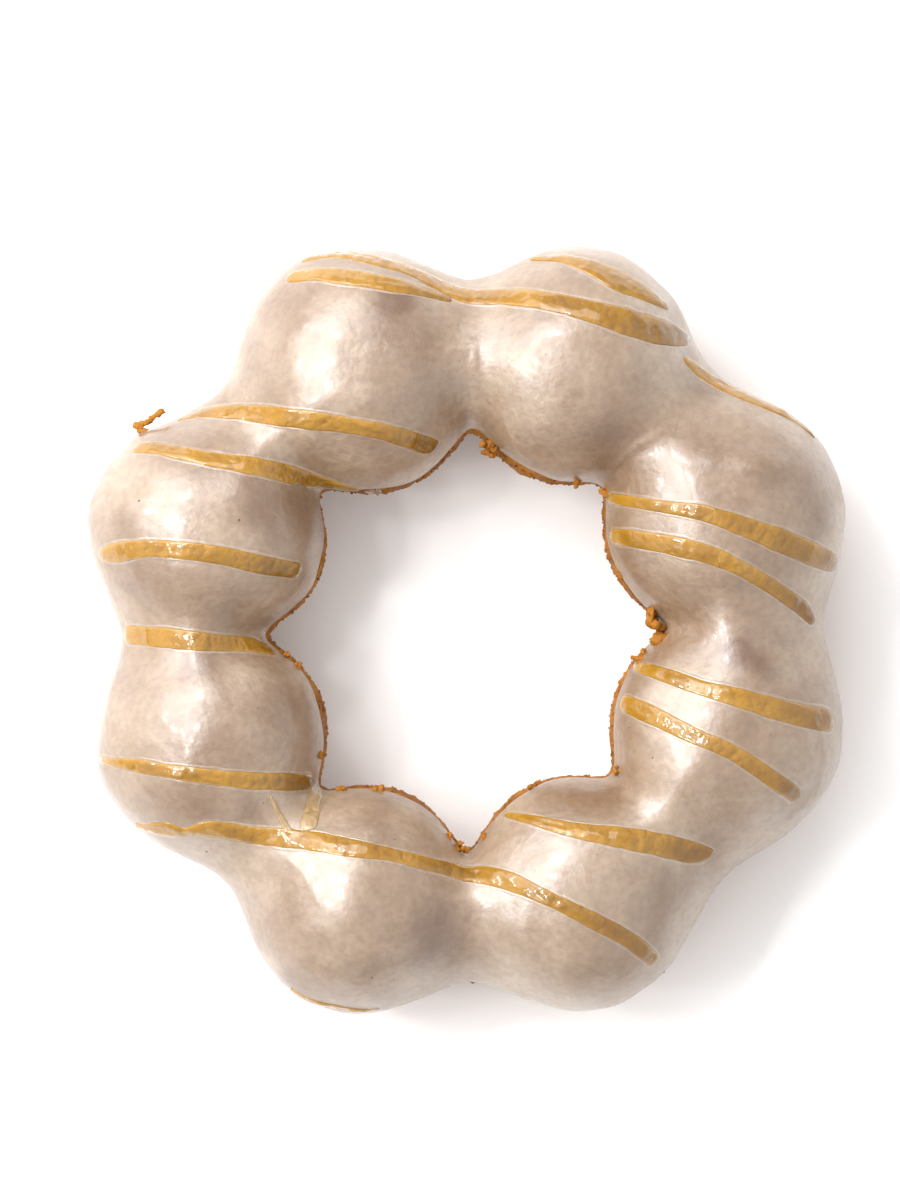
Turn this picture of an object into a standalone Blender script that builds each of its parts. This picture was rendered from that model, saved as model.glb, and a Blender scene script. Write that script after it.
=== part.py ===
"""A mochi doughnut: eight dough balls fused in a ring, a poured glaze on top and thick drizzle.

The doughnut is one solid. It lies flat, +Z is up, and the origin is the middle of its footprint.
Lengths in this file are millimetres and angles are degrees until the mesh is written in metres.
"""
import math
import random

import bmesh
import bpy
import numpy as np
from mathutils import Matrix, Vector
from mathutils.bvhtree import BVHTree

MM = 0.001

# Ring: its middle is set off the origin, because the uneven outline's box is what is centred.
RING_X = -0.1
RING_Y = 0.4
CORE_RADIUS = 34.5
WIDEST_REACH = 25.0         # the dough's surface is nearer to the core than this
HALVINGS = 20
BALL_MIDDLE = 12.4          # height of the balls' middle above the table
BALL_BELOW = 13.0           # the balls reach this far down, so the table cuts a flat spot on each

# One row a ball: angle round the ring, radius of its middle, half width across the ring,
# half length along the ring, half height above its middle.
BALLS = (
    (23.5, 34.0, 14.5, 12.7, 12.7),
    (67.5, 34.5, 14.2, 11.6, 13.1),
    (112.5, 34.0, 14.9, 12.8, 13.3),
    (159.5, 33.7, 14.3, 11.6, 12.8),
    (204.0, 33.8, 13.8, 12.0, 12.5),
    (248.5, 35.4, 13.6, 11.9, 12.9),
    (293.0, 35.1, 14.1, 12.3, 13.0),
    (338.0, 33.8, 13.7, 12.7, 12.4),
)
# How sharply neighbouring balls part: broad saddles outside, clefts at the hole.
PART_OUTSIDE = 1.8
PART_HOLE = 6.0
PART_TOP = 2.2

# Glaze: a skin over the top, whose wavy lip lies below the balls' middle outside, above it inside.
GLAZE = 0.6
LIP_OUTSIDE = -6.0
LIP_WAVE = 3.0              # how far the lip wanders outside
LIP_WAVE_HOLE = 1.2         # and round the hole
LIP_WIDTH = 2.0
# Lip round the hole: angle round the ring, section angle of the lip; more crust shows at the bottom.
LIP_AT_HOLE = (
    (0.0, 163.5), (20.0, 164.0), (45.0, 161.0), (65.0, 158.0), (85.0, 158.5), (105.0, 161.5),
    (150.0, 163.5), (175.0, 162.0), (200.0, 159.0), (240.0, 158.0), (270.0, 155.0), (300.0, 158.0),
    (335.0, 161.5), (360.0, 163.5),
)

# Mesh of the ring: columns round it, rows round its section.
COLUMNS_A_BALL = 12
NECK_CROWDING = 0.35        # how much closer together the columns are near a neck
GLAZED_ROWS = 15
BARE_ROWS = 12
CRAGGY_ROWS = 3             # the bare rows next to the hole's lip are rough crust
CRAG = 0.35

# Drizzle: each strand is a few places (x, y, width) from the ring's middle, all as seen from above.
STRAND_HEIGHT = 0.85        # half a strand's thickness
STRAND_SINK = 0.4           # how far a strand's middle lies in the glaze
STRAND_STEP = 2.2
STRAND_SIDES = 8
STRAND_END = 0.55           # size of a strand's end, as a share of the strand
NARROWEST_VIEW = 0.4        # on a steep side a strand is seen at no less than this share of its width
HANG_HEIGHT = 15.0          # a strand that leaves the outline hangs at this height
EVENING_PASSES = 4          # how often a strand's heights are evened out where the side is steep
STRANDS = (
    ((-20.6, 45.9, 1.2), (-15.7, 46.1, 1.6), (-10.7, 45.1, 1.4), (-5.8, 43.6, 1.4), (-0.9, 41.2, 1.8),
     (5.3, 40.8, 2.4), (9.0, 40.4, 2.5), (14.0, 39.3, 2.7), (18.9, 37.9, 3.4), (23.8, 36.4, 3.5),
     (27.3, 35.9, 2.2)),
    ((-22.1, 43.3, 1.6), (-18.2, 43.5, 2.0), (-13.2, 43.0, 2.1), (-8.3, 42.1, 1.8), (-4.6, 41.3, 1.3),
     (-1.9, 40.4, 0.9)),
    ((7.8, 45.5, 0.9), (11.5, 45.5, 1.3), (15.2, 44.5, 2.1), (18.9, 42.6, 2.6), (21.4, 41.4, 2.2),
     (24.8, 39.4, 1.0)),
    ((26.6, 33.2, 1.0), (28.8, 31.7, 1.5), (32.5, 29.5, 1.3), (38.7, 26.7, 1.1), (43.6, 24.1, 0.9)),
    ((-36.0, 26.4, 0.9), (-33.0, 26.6, 1.4), (-28.0, 26.6, 2.1), (-20.6, 25.7, 2.5), (-13.2, 24.7, 2.0),
     (-8.3, 23.6, 2.3), (-3.8, 22.0, 2.4)),
    ((-41.1, 22.1, 1.2), (-37.9, 22.1, 1.8), (-33.0, 21.1, 1.9), (-25.6, 19.8, 2.3), (-20.6, 18.6, 2.5),
     (-17.5, 17.8, 1.6), (-14.2, 17.6, 1.0)),
    ((-45.3, 8.9, 1.6), (-42.9, 9.4, 2.5), (-37.9, 9.8, 2.2), (-30.5, 9.0, 2.4), (-25.6, 7.9, 2.4),
     (-20.4, 7.0, 2.1)),
    ((-42.3, -0.7, 2.3), (-36.7, -1.2, 2.7), (-31.7, -1.7, 2.4), (-26.8, -2.0, 2.1), (-23.7, -2.8, 1.3)),
    ((-45.3, -16.2, 1.0), (-40.4, -16.9, 1.7), (-35.4, -17.7, 1.9), (-28.0, -18.6, 2.1),
     (-23.1, -18.8, 2.3), (-19.1, -18.9, 2.0)),
    ((-18.6, -18.5, 1.9), (-19.6, -21.0, 1.7), (-20.3, -24.9, 1.5)),
    ((-23.4, -21.2, 0.9), (-22.2, -23.7, 1.0), (-21.5, -25.3, 1.0)),
    ((-41.4, -24.9, 1.0), (-37.2, -24.5, 2.0), (-34.7, -25.1, 1.2), (-31.7, -24.6, 2.1),
     (-26.8, -25.4, 2.3), (-19.4, -26.0, 2.6), (-14.4, -26.9, 2.4), (-9.5, -27.7, 1.7), (-4.6, -29.0, 1.8),
     (0.4, -29.9, 2.4), (5.3, -31.1, 2.4), (10.3, -33.3, 1.9), (15.2, -35.7, 2.1), (20.1, -38.4, 2.2),
     (23.3, -41.2, 1.8)),
    ((4.6, -22.8, 1.0), (9.0, -23.8, 1.5), (14.0, -24.9, 2.1), (18.9, -25.6, 2.8), (23.8, -26.6, 3.0),
     (27.5, -27.5, 2.9), (30.3, -27.9, 1.4)),
    ((20.6, -4.8, 1.0), (25.1, -6.0, 1.4), (28.8, -7.3, 2.0), (33.7, -8.6, 2.4), (38.7, -10.1, 2.8),
     (43.6, -11.2, 3.0), (45.3, -11.2, 2.4)),
    ((18.4, -8.8, 1.8), (22.6, -10.6, 2.3), (27.5, -13.0, 2.2), (32.5, -15.2, 2.0), (37.4, -18.4, 2.2),
     (40.9, -20.9, 2.0)),
    ((17.2, 16.1, 1.4), (23.8, 15.0, 1.6), (28.8, 14.2, 2.1), (33.7, 12.6, 2.5), (38.7, 10.7, 3.0),
     (43.0, 8.9, 2.9), (44.4, 8.3, 2.2)),
    ((17.6, 11.3, 2.1), (21.4, 10.9, 2.3), (28.8, 9.3, 2.5), (33.7, 7.3, 2.0), (38.7, 4.3, 2.0),
     (41.1, 2.5, 2.0), (42.8, 0.8, 1.4)),
    ((-22.2, -44.8, 0.9), (-20.0, -45.7, 1.0), (-15.5, -46.6, 0.9), (-10.7, -47.3, 0.9)),
)

# Crumbs of browned crust at the lip round the hole: x, y, half size.
CRUMB_HEIGHT = 5.0          # the lip's height above the balls' middle
CRUMB_HOLD = 0.55           # a crumb's middle is no further off than this share of its half size
CRUMBS = (
    (2.2, 22.0, 0.9), (13.5, 17.4, 0.6), (17.0, 17.0, 0.6), (22.8, 0.4, 1.4), (21.3, -3.4, 0.8),
    (-22.0, -2.8, 0.6), (-20.6, -4.3, 0.6), (-18.6, -8.0, 0.5), (-17.9, -15.6, 0.7), (-15.6, -18.8, 0.6),
    (-10.8, -19.6, 0.7), (-2.2, -25.8, 0.5), (0.0, -26.6, 0.7), (2.3, -25.6, 0.6), (4.8, -22.6, 0.5),
    (8.0, -19.6, 0.6), (18.4, -17.6, 0.7), (6.5, 19.8, 0.6), (18.8, 7.0, 0.5),
)
RANDOM_SEED = 8


def unit(angle):
    return Vector((math.cos(angle), math.sin(angle), 0.0))


def parting(section):
    """Sharpness of the joins between balls, on a ray at this angle in the ring's section."""
    side = PART_OUTSIDE if math.cos(section) > 0 else PART_HOLE
    return side * math.cos(section) ** 2 + PART_TOP * math.sin(section) ** 2


def dough_field(x, y, z, sharpness):
    """1 on the surface of the fused balls and less inside, with z from the balls' middle."""
    total = 0.0
    for angle, radius, wide, long, high in BALLS:
        turn = math.radians(angle)
        across = (x * math.cos(turn) + y * math.sin(turn) - radius) / wide
        along = (y * math.cos(turn) - x * math.sin(turn)) / long
        up = z / (high if z > 0 else BALL_BELOW)
        total += math.exp(-sharpness * math.sqrt(across ** 2 + along ** 2 + up ** 2))
    return -math.log(total) / sharpness


def dough_reach(angle, section):
    """Distance from the ring's core to the dough's surface, found by halving."""
    sharpness = parting(section)
    near, far = 0.0, WIDEST_REACH
    for _ in range(HALVINGS):
        middle = (near + far) / 2
        radius = CORE_RADIUS + middle * math.cos(section)
        x, y = radius * math.cos(angle), radius * math.sin(angle)
        if dough_field(x, y, middle * math.sin(section), sharpness) < 1:
            near = middle
        else:
            far = middle
    return near


def ring_point(angle, section, skin):
    """Point on the dough, or a skin's thickness outside it, and never below the table."""
    reach = dough_reach(angle, section) + skin
    if math.sin(section) < 0:
        reach = min(reach, BALL_MIDDLE / -math.sin(section))
    flat = unit(angle) * (CORE_RADIUS + reach * math.cos(section))
    return Vector((RING_X, RING_Y, BALL_MIDDLE + reach * math.sin(section))) + flat


def lips(angle):
    """Section angles of the glaze's two lips, which wander as the glaze ran."""
    outside = math.sin(5 * angle + 1.0) + 0.7 * math.sin(11 * angle + 0.4)
    hole = math.sin(7 * angle + 2.0) + 0.7 * math.sin(13 * angle + 1.3)
    lip_at_hole = np.interp(math.degrees(angle) % 360, *zip(*LIP_AT_HOLE))
    return (math.radians(LIP_OUTSIDE + LIP_WAVE * outside), math.radians(lip_at_hole + LIP_WAVE_HOLE * hole))


def column_angle(column):
    """Columns are shared out between the necks, closer together near each neck."""
    ball, step = divmod(column, COLUMNS_A_BALL)
    share = step / COLUMNS_A_BALL
    share -= NECK_CROWDING * math.sin(2 * math.pi * share) / (2 * math.pi)
    before = BALLS[ball - 1][0] - (360 if ball == 0 else 0)
    here = BALLS[ball][0]
    after = BALLS[(ball + 1) % len(BALLS)][0] + (360 if ball == len(BALLS) - 1 else 0)
    first_neck, last_neck = (before + here) / 2, (here + after) / 2
    return math.radians(first_neck + (last_neck - first_neck) * share)


def row_section(row, angle):
    """Section angle and skin of a row: glazed rows from lip to lip, then bare rows underneath."""
    outside, hole = lips(angle)
    if row < GLAZED_ROWS:
        return outside + (hole - outside) * row / (GLAZED_ROWS - 1), GLAZE
    width = math.radians(LIP_WIDTH)
    start, end = hole + width, outside + 2 * math.pi - width
    return start + (end - start) * (row - GLAZED_ROWS) / (BARE_ROWS - 1), 0.0


def make_ring(rng):
    """A torus whose points are moved onto the fused balls, rough where the crust shows."""
    rows = GLAZED_ROWS + BARE_ROWS
    bpy.ops.mesh.primitive_torus_add(major_radius=CORE_RADIUS * MM, minor_radius=BALL_MIDDLE * MM,
                                     major_segments=COLUMNS_A_BALL * len(BALLS), minor_segments=rows)
    ring = bpy.context.object
    for vertex in ring.data.vertices:
        column, row = divmod(vertex.index, rows)
        angle = column_angle(column)
        section, skin = row_section(row, angle)
        if GLAZED_ROWS <= row < GLAZED_ROWS + CRAGGY_ROWS:
            skin = rng.uniform(-CRAG, CRAG)
        vertex.co = ring_point(angle, section, skin) * MM
    return ring


def smooth_route(places):
    """Points about a step apart on a smooth curve through a strand's places."""
    route = []
    for index in range(len(places) - 1):
        before, start = places[max(index - 1, 0)], places[index]
        end, after = places[index + 1], places[min(index + 2, len(places) - 1)]
        steps = max(1, round(math.dist(start[:2], end[:2]) / STRAND_STEP))
        for step in range(steps):
            t = step / steps
            route.append([0.5 * (2 * b + (c - a) * t + (2 * a - 5 * b + 4 * c - d) * t ** 2
                                 + (3 * b - a - 3 * c + d) * t ** 3)
                          for a, b, c, d in zip(before, start, end, after)])
    route.append(list(places[-1]))
    return route


def lie_on(x, y, surface):
    """Where a strand lies at this place, and which way is out of the doughnut there."""
    above = Vector((RING_X + x, RING_Y + y, 3 * BALL_MIDDLE)) * MM
    hit, normal, _, _ = surface.ray_cast(above, Vector((0.0, 0.0, -1.0)))
    if hit is None:
        hit = Vector((RING_X + x, RING_Y + y, HANG_HEIGHT)) * MM
        normal = unit(math.atan2(y, x))
    return hit, normal


def drape(route, surface):
    """The strand's points and outward directions, evened out where the side is steep."""
    lie = [lie_on(x, y, surface) for x, y, _ in route]
    for _ in range(EVENING_PASSES):
        for index in range(1, len(lie) - 1):
            point, normal = lie[index]
            between = (lie[index - 1][0].z + lie[index + 1][0].z) / 2
            point.z += (1 - abs(normal.z)) * (between - point.z)
    return lie


def make_strand(places, surface, collection):
    """A flat strand of drizzle that follows the glaze, as bridged oval sections."""
    route = smooth_route(places)
    lie = drape(route, surface)
    last = len(route) - 1
    bm = bmesh.new()
    loops = []
    for index, (_, _, width) in enumerate(route):
        before, after = lie[max(index - 1, 0)], lie[min(index + 1, last)]
        forward = (after[0] - before[0]).normalized()
        sideways = forward.cross(before[1] + lie[index][1] + after[1]).normalized()
        size = STRAND_END if index in (0, last) else 1.0
        half_width = size * width / 2 / max(sideways.xy.length, NARROWEST_VIEW)
        height = size * STRAND_HEIGHT
        frame = Matrix((sideways * half_width * MM, sideways.cross(forward) * height * MM, forward))
        middle = lie[index][0] - sideways.cross(forward) * STRAND_SINK * MM
        matrix = Matrix.Translation(middle) @ frame.transposed().to_4x4()
        made = bmesh.ops.create_circle(bm, segments=STRAND_SIDES, radius=1.0, matrix=matrix)
        loops.append({edge for vertex in made['verts'] for edge in vertex.link_edges})
    for first, second in zip(loops, loops[1:]):
        bmesh.ops.bridge_loops(bm, edges=list(first | second))
    for loop in (loops[0], loops[-1]):
        bmesh.ops.contextual_create(bm, geom=list(loop))
    bmesh.ops.recalc_face_normals(bm, faces=bm.faces)
    add_object('strand', bm, collection)


def make_crumb(x, y, size, surface, collection, rng):
    """A lump of crust: a coarse ball with uneven corners that holds on to the surface."""
    place = Vector((RING_X + x, RING_Y + y, BALL_MIDDLE + CRUMB_HEIGHT)) * MM
    hold = surface.find_nearest(place)[0]
    reach = (place - hold).normalized() * min((place - hold).length, CRUMB_HOLD * size * MM)
    bm = bmesh.new()
    bmesh.ops.create_icosphere(bm, subdivisions=1, radius=size * MM)
    for vertex in bm.verts:
        vertex.co *= rng.uniform(0.75, 1.2)
    bmesh.ops.translate(bm, vec=hold + reach, verts=bm.verts)
    add_object('crumb', bm, collection)


def add_object(name, bm, collection):
    mesh = bpy.data.meshes.new(name)
    bm.to_mesh(mesh)
    bm.free()
    collection.objects.link(bpy.data.objects.new(name, mesh))


def fuse(ring, collection):
    """Join the ring and all that lies on it into one closed body."""
    union = ring.modifiers.new('fused toppings', 'BOOLEAN')
    union.operation = 'UNION'
    union.operand_type = 'COLLECTION'
    union.collection = collection
    union.solver = 'EXACT'
    bpy.context.view_layer.objects.active = ring
    bpy.ops.object.modifier_apply(modifier=union.name)
    for topping in list(collection.objects):
        bpy.data.objects.remove(topping, do_unlink=True)
    bpy.data.collections.remove(collection)


def doughnut_material():
    """Milk-tea glaze over fried dough."""
    material = bpy.data.materials.new('glazed dough')
    material.use_nodes = True
    surface = material.node_tree.nodes['Principled BSDF']
    surface.inputs['Base Color'].default_value = (0.58, 0.43, 0.31, 1.0)
    surface.inputs['Roughness'].default_value = 0.3
    surface.inputs['Metallic'].default_value = 0.0
    return material


def build_doughnut():
    for old in list(bpy.data.objects):
        bpy.data.objects.remove(old, do_unlink=True)
    rng = random.Random(RANDOM_SEED)
    ring = make_ring(rng)
    ring.name = 'doughnut'
    ring.data.name = 'doughnut'
    surface = BVHTree.FromObject(ring, bpy.context.evaluated_depsgraph_get())
    toppings = bpy.data.collections.new('toppings')
    bpy.context.scene.collection.children.link(toppings)
    for places in STRANDS:
        make_strand(places, surface, toppings)
    for x, y, size in CRUMBS:
        make_crumb(x, y, size, surface, toppings, rng)
    fuse(ring, toppings)
    ring.data.shade_smooth()
    ring.data.set_sharp_from_angle(angle=math.radians(40))
    ring.data.materials.append(doughnut_material())


build_doughnut()
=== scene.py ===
import math
import random

import bmesh
import bpy
import numpy as np
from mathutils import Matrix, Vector, noise
from mathutils.bvhtree import BVHTree


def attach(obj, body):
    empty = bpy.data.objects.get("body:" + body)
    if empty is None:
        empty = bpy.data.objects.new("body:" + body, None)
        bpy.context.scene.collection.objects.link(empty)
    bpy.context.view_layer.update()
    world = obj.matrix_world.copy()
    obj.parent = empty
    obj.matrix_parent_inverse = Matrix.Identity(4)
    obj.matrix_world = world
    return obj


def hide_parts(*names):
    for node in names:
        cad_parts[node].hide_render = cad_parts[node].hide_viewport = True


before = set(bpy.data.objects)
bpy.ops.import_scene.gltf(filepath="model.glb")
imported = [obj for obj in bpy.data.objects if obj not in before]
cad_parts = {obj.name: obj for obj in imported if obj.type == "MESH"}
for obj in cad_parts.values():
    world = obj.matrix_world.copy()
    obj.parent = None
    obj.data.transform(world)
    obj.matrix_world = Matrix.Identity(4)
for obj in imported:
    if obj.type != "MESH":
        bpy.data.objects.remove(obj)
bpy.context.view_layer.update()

# ---------------------------------------------------------------------------------------------
# Floor, camera and light: the doughnut lies on a white sheet and is seen from straight above
# through a long lens. A softbox with small bulbs stands on its left, two fills stand beyond it at
# the upper left, a silk hangs overhead and a white wall on the right throws some light back.
MM = 0.001
SHEET_HALF_SIZE = 3.0
SHEET_WHITE = (0.9, 0.9, 0.9, 1.0)


def new_finish(name):
    """A new material, with its nodes, its links and the shader of its skin."""
    material = bpy.data.materials.new(name)
    material.use_nodes = True
    tree = material.node_tree
    return material, tree.nodes, tree.links, tree.nodes["Principled BSDF"]


bm = bmesh.new()
bmesh.ops.create_grid(bm, x_segments=1, y_segments=1, size=SHEET_HALF_SIZE)
sheet_mesh = bpy.data.meshes.new("white_sheet")
bm.to_mesh(sheet_mesh)
bm.free()
white_sheet = bpy.data.objects.new("white_sheet", sheet_mesh)
bpy.context.scene.collection.objects.link(white_sheet)

paper, nodes, links, skin = new_finish("white paper")
skin.inputs["Base Color"].default_value = SHEET_WHITE
skin.inputs["Roughness"].default_value = 0.9
skin.inputs["Specular IOR Level"].default_value = 0.2
sheet_mesh.materials.append(paper)

# The photograph's 1200 pixels of height span PICTURE_HEIGHT at the height of the balls' middle,
# and PICTURE_MIDDLE is the place on the plan below the photograph's middle. Sizes are in mm.
BALL_MIDDLE = 12.4
PICTURE_HEIGHT = 148.2
PICTURE_MIDDLE = (-2.2, 3.9)
LENS_HEIGHT = 2000.0

camera_data = bpy.data.cameras.new("camera")
camera_data.sensor_width = 36.0
camera_data.lens = camera_data.sensor_width * (LENS_HEIGHT - BALL_MIDDLE) / PICTURE_HEIGHT
camera_data.clip_end = 20.0
camera = bpy.data.objects.new("camera", camera_data)
camera.location = (PICTURE_MIDDLE[0] * MM, PICTURE_MIDDLE[1] * MM, LENS_HEIGHT * MM)
bpy.context.scene.collection.objects.link(camera)
bpy.context.scene.camera = camera


def soft_light(name, shape, azimuth, elevation, distance, width, height, watts):
    """A flat soft light that faces the doughnut; its width runs level and its height upwards."""
    turn, lift = math.radians(azimuth), math.radians(elevation)
    level = math.cos(lift)
    toward = Vector((math.cos(turn) * level, math.sin(turn) * level, math.sin(lift)))
    light = bpy.data.lights.new(name, "AREA")
    light.shape = shape
    light.size = width
    light.size_y = height
    light.energy = watts
    lamp = bpy.data.objects.new(name, light)
    lamp.location = toward * distance
    lamp.rotation_mode = "QUATERNION"
    lamp.rotation_quaternion = toward.to_track_quat("Z", "Y")
    lamp.visible_camera = False
    bpy.context.scene.collection.objects.link(lamp)


# Direction and elevation in degrees; then distance, width and height in metres, and watts.
soft_light("left softbox", "RECTANGLE", 168, 37, 0.7, 1.4, 0.6, 1.9)
soft_light("softbox upper edge", "RECTANGLE", 168, 52, 0.72, 1.2, 0.18, 1.2)
soft_light("softbox bulb", "ELLIPSE", 160, 52, 0.67, 0.16, 0.05, 0.3)
soft_light("softbox lower bulb", "ELLIPSE", 150, 28, 0.67, 0.16, 0.05, 0.2)
SMALL_BULBS = ((152, 62), (176, 44), (120, 50), (166, 32), (182, 58), (198, 48))
for azimuth, elevation in SMALL_BULBS:
    soft_light("small bulb", "ELLIPSE", azimuth, elevation, 0.67, 0.09, 0.045, 0.45)
soft_light("upper left fill", "RECTANGLE", 135, 30, 0.7, 0.6, 0.5, 1.9)
soft_light("upper fill", "RECTANGLE", 105, 42, 0.8, 0.7, 0.4, 2.7)
soft_light("overhead silk", "ELLIPSE", 165, 76, 1.0, 1.4, 1.2, 2.2)
soft_light("right wall", "RECTANGLE", 345, 35, 1.2, 2.4, 1.6, 4.5)

world = bpy.data.worlds.new("studio")
world.use_nodes = True
room = world.node_tree.nodes["Background"]
room.inputs["Color"].default_value = (1.0, 1.0, 1.0, 1.0)
room.inputs["Strength"].default_value = 0.78
bpy.context.scene.world = world
bpy.context.scene.view_settings.view_transform = "Standard"

# ---------------------------------------------------------------------------------------------
# Fried dough: eight balls of dough, laid touching in a ring, swell together in the fryer. The
# crust is golden brown, smooth underneath and crumbly where it meets the glaze round the hole.
# The ring's middle on the plan, the circle that runs through its balls, and how far a ball would
# swell below its middle if no table were there. Sizes are in mm.
RING_X = -0.1
RING_Y = 0.4
CORE_RADIUS = 34.5
BALL_BELOW = 13.0
# Angle round the ring, radius of the ball's middle, half width across the ring, half length
# along it, half height above its middle.
BALLS = np.array((
    (23.5, 34.0, 14.5, 12.7, 12.7),
    (67.5, 34.5, 14.2, 11.6, 13.1),
    (112.5, 34.0, 14.9, 12.8, 13.3),
    (159.5, 33.7, 14.3, 11.6, 12.8),
    (204.0, 33.8, 13.8, 12.0, 12.5),
    (248.5, 35.4, 13.6, 11.9, 12.9),
    (293.0, 35.1, 14.1, 12.3, 13.0),
    (338.0, 33.8, 13.7, 12.7, 12.4),
))
# How sharply the balls part: on the outline, round the hole and on top.
PART_OUTSIDE = 1.8
PART_HOLE = 6.0
PART_TOP = 2.2
# The dough's surface lies within this reach of the circle, and is found by halving it.
FURTHEST_REACH = 25.0
HALVINGS = 22
# Angle round the ring and section angle of the glaze's lip there, in degrees: outside, where bare
# crust peeps out in a few places, and round the hole, where more crust shows at the bottom.
LIP_OUTSIDE = (
    (0, -6), (8, -4), (14, 6), (20, 12), (26, 6), (33, -5), (49, -5), (55, 4), (61, 12), (67, 6),
    (74, -1), (82, 8), (90, 15), (98, 8), (106, -4), (146, -6), (153, 4), (160, 12), (167, 5),
    (175, -6), (255, -6), (262, 4), (270, 16), (278, 5), (286, 2), (296, 11), (305, 12), (313, 14),
    (321, 8), (330, -4), (360, -6),
)
LIP_HOLE = (
    (0, 163.5), (20, 164), (45, 161), (65, 158), (85, 158.5), (105, 161.5), (150, 163.5),
    (175, 162), (200, 160), (240, 160), (270, 157), (300, 161), (335, 163), (360, 163.5),
)
LIP_WAVE = 3.0
LIP_WAVE_HOLE = 1.2
# Fine rows of the crust's mesh are where it is bare, and for this turn on under the glaze.
UNDER_GLAZE = math.radians(4.0)
CRUST_COLUMNS = 560
BARE_ROWS = 110
COVERED_ROWS = 34
# Relief of the crust: height, size and seed of each layer. The crags stand in a band below the
# glaze's lip round the hole, and the pores are everywhere.
CRAG_STAND = 0.05
CRAGS = ((0.45, 1.3, 1), (0.4, 0.6, 2))
CRAG_BAND_MIDDLE = 8.0
CRAG_BAND_WIDTH = 16.0
PORES = ((0.10, 1.6, 3), (0.05, 0.6, 4))
CRUST_BROWN = (0.185, 0.062, 0.006)
CRUST_GOLD = (0.40, 0.16, 0.02)


def dough_reach(angle, section):
    """Distance from the ring's core circle to the surface of the fused balls."""
    cosine, sine = np.cos(section), np.sin(section)
    side = np.where(cosine > 0, PART_OUTSIDE, PART_HOLE)
    sharpness = side * cosine ** 2 + PART_TOP * sine ** 2
    near, far = np.zeros_like(angle), np.full_like(angle, FURTHEST_REACH)
    for _ in range(HALVINGS):
        middle = (near + far) / 2
        radius, z = CORE_RADIUS + middle * cosine, middle * sine
        x, y = radius * np.cos(angle), radius * np.sin(angle)
        total = np.zeros_like(angle)
        for turn, middle_radius, wide, long, high in BALLS:
            turn = math.radians(turn)
            across = (x * math.cos(turn) + y * math.sin(turn) - middle_radius) / wide
            along = (y * math.cos(turn) - x * math.sin(turn)) / long
            up = z / np.where(z > 0, high, BALL_BELOW)
            total += np.exp(-sharpness * np.sqrt(across ** 2 + along ** 2 + up ** 2))
        inside = -np.log(total) / sharpness < 1
        near, far = np.where(inside, middle, near), np.where(inside, far, middle)
    return near


def ring_points(angle, section, skin):
    """Points on the dough or a skin's thickness outside it, never below the table, in mm."""
    reach = dough_reach(angle, section) + skin
    down = np.maximum(-np.sin(section), 1e-6)
    reach = np.where(np.sin(section) < 0, np.minimum(reach, BALL_MIDDLE / down), reach)
    radius = CORE_RADIUS + reach * np.cos(section)
    return np.stack((RING_X + radius * np.cos(angle), RING_Y + radius * np.sin(angle),
                     BALL_MIDDLE + reach * np.sin(section)), axis=1)


def lips(angle):
    """Section angles of the glaze's two lips, which wander as the glaze ran."""
    outside = np.sin(5 * angle + 1.0) + 0.7 * np.sin(11 * angle + 0.4)
    hole = np.sin(7 * angle + 2.0) + 0.7 * np.sin(13 * angle + 1.3)
    turn = np.degrees(angle) % 360
    return (np.radians(np.interp(turn, *zip(*LIP_OUTSIDE)) + LIP_WAVE * outside),
            np.radians(np.interp(turn, *zip(*LIP_HOLE)) + LIP_WAVE_HOLE * hole))


def rolled_ring(rows, columns):
    """A sheet rolled into a closed ring, with each point's place round it and in its section."""
    bm = bmesh.new()
    bmesh.ops.create_grid(bm, x_segments=columns, y_segments=rows, size=0.5)
    for vertex in bm.verts:
        turn, section = 2 * math.pi * (vertex.co.x + 0.5), 2 * math.pi * (vertex.co.y + 0.5)
        radius, z = CORE_RADIUS + BALL_MIDDLE * math.cos(section), BALL_MIDDLE * math.sin(section)
        vertex.co = Vector((radius * math.cos(turn), radius * math.sin(turn), z)) * MM
    seams = [vertex for vertex in bm.verts if vertex.is_boundary]
    bmesh.ops.remove_doubles(bm, verts=seams, dist=1e-6)
    bmesh.ops.recalc_face_normals(bm, faces=bm.faces)
    mesh = bpy.data.meshes.new("ring")
    bm.to_mesh(mesh)
    bm.free()
    place = np.empty(len(mesh.vertices) * 3)
    mesh.vertices.foreach_get("co", place)
    x, y, z = place.reshape(-1, 3).T
    column = np.round(np.arctan2(y, x) / (2 * math.pi) * columns) % columns
    row = np.round(np.arctan2(z, np.hypot(x, y) - CORE_RADIUS * MM) / (2 * math.pi) * rows) % rows
    return mesh, column / columns * 2 * math.pi, row


def finish_piece(name, mesh, points, material):
    """Puts the mesh's points in place, in mm, and makes the finished piece of the doughnut."""
    if points is not None:
        mesh.vertices.foreach_set("co", (points * MM).ravel())
    mesh.update()
    mesh.shade_smooth()
    mesh.materials.append(material)
    piece = bpy.data.objects.new(name, mesh)
    bpy.context.scene.collection.objects.link(piece)
    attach(piece, "root")
    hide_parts("doughnut")
    return piece


def rumple(points, size, seed):
    """Smooth noise from -1 to 1 at each point, with lumps of about this size in mm."""
    shift = Vector((seed * 17.3, seed * 5.1, seed * 9.7))
    return np.array([noise.noise(Vector(point) / size + shift) for point in points])


def relief_of(points, layers):
    """Height of the relief at each point, in mm, summed over its layers."""
    return sum(height * rumple(points, size, seed) for height, size, seed in layers)


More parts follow.
